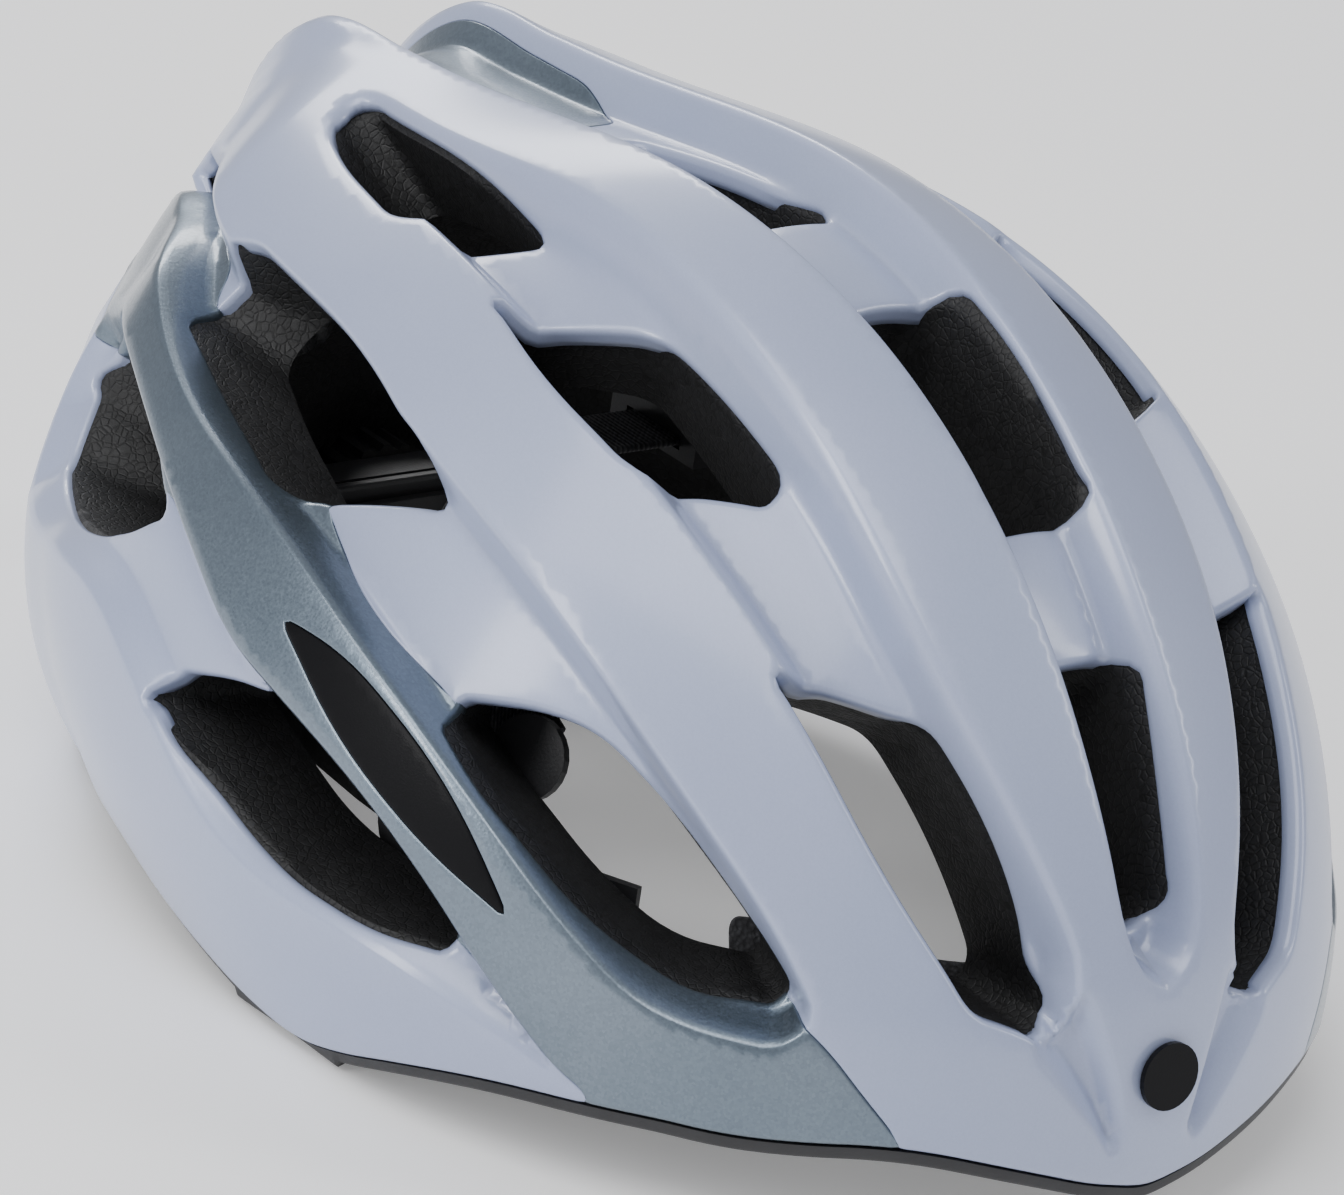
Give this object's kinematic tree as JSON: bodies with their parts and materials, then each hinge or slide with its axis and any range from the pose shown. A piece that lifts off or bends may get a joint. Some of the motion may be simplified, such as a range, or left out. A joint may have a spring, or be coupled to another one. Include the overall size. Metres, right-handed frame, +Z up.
{
  "type": "cycling helmet",
  "caption": "Vented road cycling helmet with a moulded shell, foam liner, dial-adjusted retention cradle and webbing chin strap with a side-release buckle.",
  "frame": {"origin": "on the ground under the middle of the helmet's bounding box, the helmet standing on its lower rim", "axes": "+Z up, -Y towards the front of the helmet, +X towards the wearer's left"},
  "size_m": [0.2078, 0.2844, 0.1431],
  "materials": {
    "shell_white": "pearl white gloss polycarbonate",
    "band_silver": "silver-blue metallic lacquer on polycarbonate",
    "insert_black": "satin black polycarbonate",
    "foam_black": "black expanded polystyrene, moulded bead texture",
    "trim_black": "matt black moulded edge",
    "pad_fabric": "dark grey brushed knit over foam",
    "nylon_black": "black moulded nylon, fine texture",
    "webbing_black": "woven black polyester webbing",
    "rubber_black": "black overmoulded rubber"
  },
  "bodies": {
    "helmet": {"outer_shell": "shell_white", "side_band_left": "band_silver", "side_band_right": "band_silver", "accent_insert_left": "insert_black", "accent_insert_right": "insert_black", "rear_centre_panel": "band_silver", "foam_liner_left": "foam_black", "foam_liner_right": "foam_black", "rim_trim": "trim_black", "front_badge": "insert_black", "brow_pad": "pad_fabric", "crown_pad_left": "pad_fabric", "crown_pad_right": "pad_fabric", "side_pad_left": "pad_fabric", "side_pad_right": "pad_fabric", "headband_arm_left": "nylon_black", "headband_arm_right": "nylon_black", "temple_anchor_left": "nylon_black", "temple_anchor_right": "nylon_black", "front_strap_left": "webbing_black", "front_strap_right": "webbing_black", "front_anchor_left": "nylon_black", "front_anchor_right": "nylon_black", "rear_strap_left": "webbing_black", "rear_strap_right": "webbing_black", "rear_anchor_left": "nylon_black", "rear_anchor_right": "nylon_black", "chin_strap_left": "webbing_black", "chin_strap_right": "webbing_black", "buckle_female": "nylon_black"},
    "cradle": {"cradle_arm_left": "nylon_black", "cradle_arm_right": "nylon_black", "cradle_plate": "nylon_black", "occipital_pad_left": "pad_fabric", "occipital_pad_right": "pad_fabric", "dial_housing_front": "nylon_black", "dial_housing_back": "nylon_black"},
    "dial": {"dial": "rubber_black", "pinion": "nylon_black"},
    "rack_left": {"rack_left": "nylon_black"},
    "rack_right": {"rack_right": "nylon_black"},
    "buckle_male": {"buckle_male": "nylon_black"},
    "strap_divider_left": {"strap_divider_left": "nylon_black"},
    "strap_divider_right": {"strap_divider_right": "nylon_black"},
    "strap_keeper": {"strap_keeper": "rubber_black"}
  },
  "joints": [
    {"name": "cradle_tilt", "type": "hinge", "parent": "helmet", "child": "cradle", "pos_m": [0, -0.023, 0.036], "axis": [-1, 0, 0], "range_deg": [0, 22]},
    {"name": "dial_turn", "type": "hinge", "parent": "cradle", "child": "dial", "pos_m": [0, 0.0986, 0.036], "axis": [0, 1, 0], "range_deg": [0, 195]},
    {"name": "rack_left_slide", "type": "slide", "parent": "cradle", "child": "rack_left", "axis": [-1, 0, 0], "range_m": [0, 0.011]},
    {"name": "rack_right_slide", "type": "slide", "parent": "cradle", "child": "rack_right", "axis": [1, 0, 0], "range_m": [0, 0.011]},
    {"name": "buckle_release", "type": "slide", "parent": "helmet", "child": "buckle_male", "axis": [-1, 0, 0], "range_m": [0, 0.022]},
    {"name": "divider_left_slide", "type": "slide", "parent": "helmet", "child": "strap_divider_left", "axis": [-0.4997, 0, 0.8662], "range_m": [0, 0.01]},
    {"name": "divider_right_slide", "type": "slide", "parent": "helmet", "child": "strap_divider_right", "axis": [0.4997, 0, 0.8662], "range_m": [0, 0.01]},
    {"name": "keeper_slide", "type": "slide", "parent": "helmet", "child": "strap_keeper", "axis": [1, 0, 0], "range_m": [0, 0.004]}
  ],
  "couplings": [
    {"joint": "rack_left_slide", "follows": "dial_turn", "m_per_rad": 0.0032},
    {"joint": "rack_right_slide", "follows": "dial_turn", "m_per_rad": 0.0032}
  ]
}
